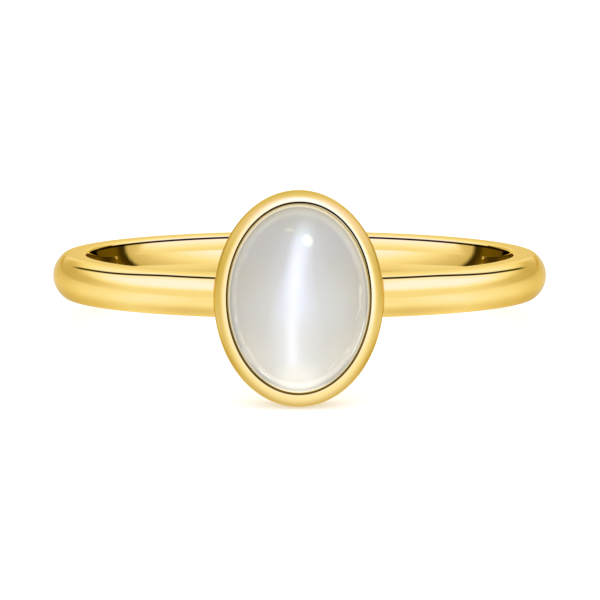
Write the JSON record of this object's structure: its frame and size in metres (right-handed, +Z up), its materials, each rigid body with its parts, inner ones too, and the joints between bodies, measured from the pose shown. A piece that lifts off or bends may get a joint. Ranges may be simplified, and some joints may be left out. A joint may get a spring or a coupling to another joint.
{
  "type": "moonstone ring",
  "caption": "Finger ring: a plain crowned gold band with a domed oval moonstone held in a smooth bezel that is open at the back.",
  "frame": {"origin": "on the surface the ring lies on, under the middle of its box", "axes": "+Z up from that surface; -Y the way the stone looks; +X from left to right across the finger as the stone is seen from the front"},
  "size_m": [0.0202, 0.0218, 0.0088],
  "materials": {
    "gold": "polished yellow gold",
    "moonstone": "polished, milky and translucent, with a bluish white sheen along its length"
  },
  "bodies": {
    "root": {"band_and_bezel": "gold", "moonstone": "moonstone"}
  },
  "joints": []
}
